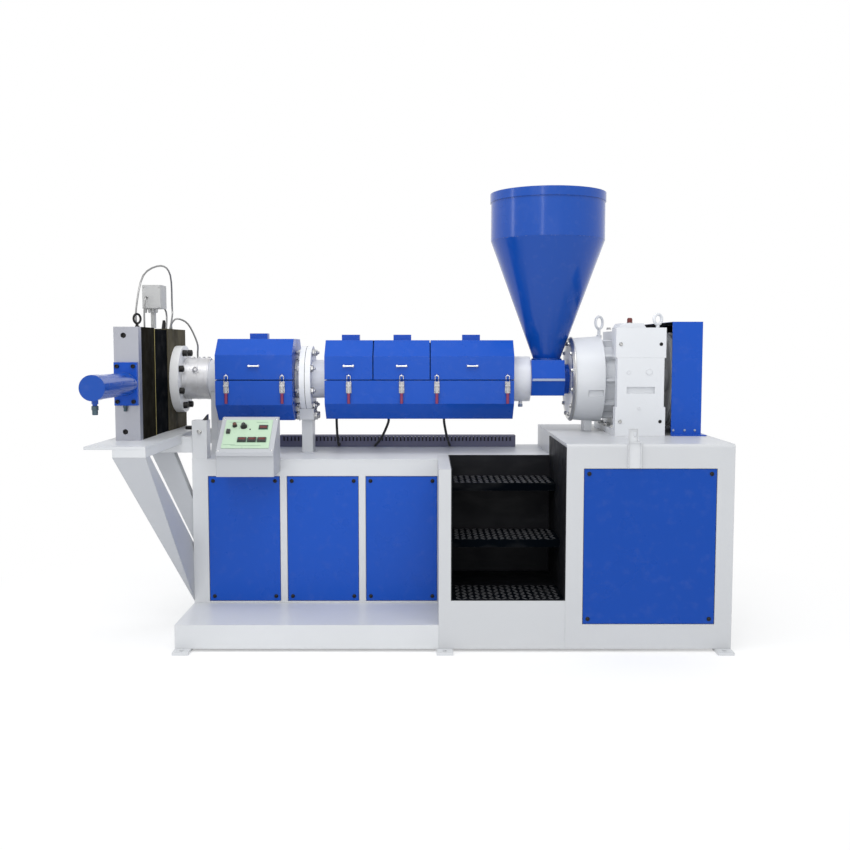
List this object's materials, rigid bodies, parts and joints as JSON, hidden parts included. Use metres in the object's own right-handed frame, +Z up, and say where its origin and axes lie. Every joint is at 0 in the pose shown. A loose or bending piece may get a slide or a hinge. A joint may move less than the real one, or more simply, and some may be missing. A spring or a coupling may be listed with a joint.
{
  "type": "plastic pelletizing extruder",
  "caption": "Single-screw plastic pelletizing extruder on a panelled base, with hinged heater covers, a feed hopper, gearbox, belt guard, steps, control console and hydraulic screen changer.",
  "frame": {"origin": "bottom centre of the whole machine's box, on the floor", "axes": "+X along the barrel from the screen changer to the drive, +Y to the back, +Z up"},
  "size_m": [2.553, 1.462, 1.944],
  "materials": {
    "white_paint": "semi-gloss",
    "blue_paint": "gloss",
    "black_plate": "satin, checker plate on the treads",
    "duct_plastic": "matt",
    "overlay": "matt film",
    "control_plastic": "moulded",
    "dark_steel": "heat-darkened",
    "bare_steel": "ground",
    "black_steel": "blackened",
    "grey_plastic": "matt",
    "black_rubber": "matt",
    "band_steel": "dull",
    "latch_steel": "bright plated"
  },
  "bodies": {
    "root": {"foot_pads": "white_paint", "plinth": "white_paint", "left_frame": "white_paint", "deck_plate": "white_paint", "step_frame": "white_paint", "drive_base": "white_paint", "drain_chute": "white_paint", "shelf_plate": "white_paint", "shelf_frame": "white_paint", "shelf_braces": "white_paint", "deck_posts": "white_paint", "console_body": "white_paint", "adapter_flange": "white_paint", "front_support": "white_paint", "barrel_front": "white_paint", "barrel_rear": "white_paint", "barrel_post": "white_paint", "gearbox_bell": "white_paint", "gearbox_case": "white_paint", "gearbox_cap": "white_paint", "panel_1": "blue_paint", "panel_2": "blue_paint", "panel_3": "blue_paint", "rear_panels": "blue_paint", "drive_panel": "blue_paint", "cylinder_plate": "blue_paint", "hydraulic_cylinder": "blue_paint", "cover_1_base": "blue_paint", "cover_2_base": "blue_paint", "feed_throat": "blue_paint", "hopper_cone": "blue_paint", "hopper_drum": "blue_paint", "belt_guard": "blue_paint", "step_lining": "black_plate", "step_treads": "black_plate", "slide_guard": "black_plate", "cable_duct": "duct_plastic", "console_face": "overlay", "console_controls": "control_plastic", "changer_body": "dark_steel", "changer_yoke": "dark_steel", "changer_front_plate": "bare_steel", "head_eyebolts": "black_steel", "junction_box": "grey_plastic", "heater_conduits": "grey_plastic", "heater_cables": "black_rubber", "nose_band": "band_steel", "cover_latches": "latch_steel"},
    "front_lid": {"cover_1_lid": "blue_paint"},
    "rear_lid_a": {"cover_2_lid_a": "blue_paint"},
    "rear_lid_b": {"cover_2_lid_b": "blue_paint"},
    "rear_lid_c": {"cover_2_lid_c": "blue_paint"},
    "pulley": {"drive_pulley": "bare_steel"}
  },
  "joints": [
    {"name": "front_lid_hinge", "type": "hinge", "parent": "root", "child": "front_lid", "pos_m": [0.0065, 0.527, 1.092], "axis": [-1, 0, 0], "range_deg": [0, 100]},
    {"name": "rear_lid_a_hinge", "type": "hinge", "parent": "root", "child": "rear_lid_a", "pos_m": [0.0065, 0.521, 1.092], "axis": [-1, 0, 0], "range_deg": [0, 100]},
    {"name": "rear_lid_b_hinge", "type": "hinge", "parent": "root", "child": "rear_lid_b", "pos_m": [0.0065, 0.521, 1.092], "axis": [-1, 0, 0], "range_deg": [0, 100]},
    {"name": "rear_lid_c_hinge", "type": "hinge", "parent": "root", "child": "rear_lid_c", "pos_m": [0.0065, 0.521, 1.092], "axis": [-1, 0, 0], "range_deg": [0, 100]},
    {"name": "pulley_spin", "type": "hinge", "parent": "root", "child": "pulley", "pos_m": [1.1365, 0.255, 1.092], "axis": [1, 0, 0], "continuous": true}
  ]
}
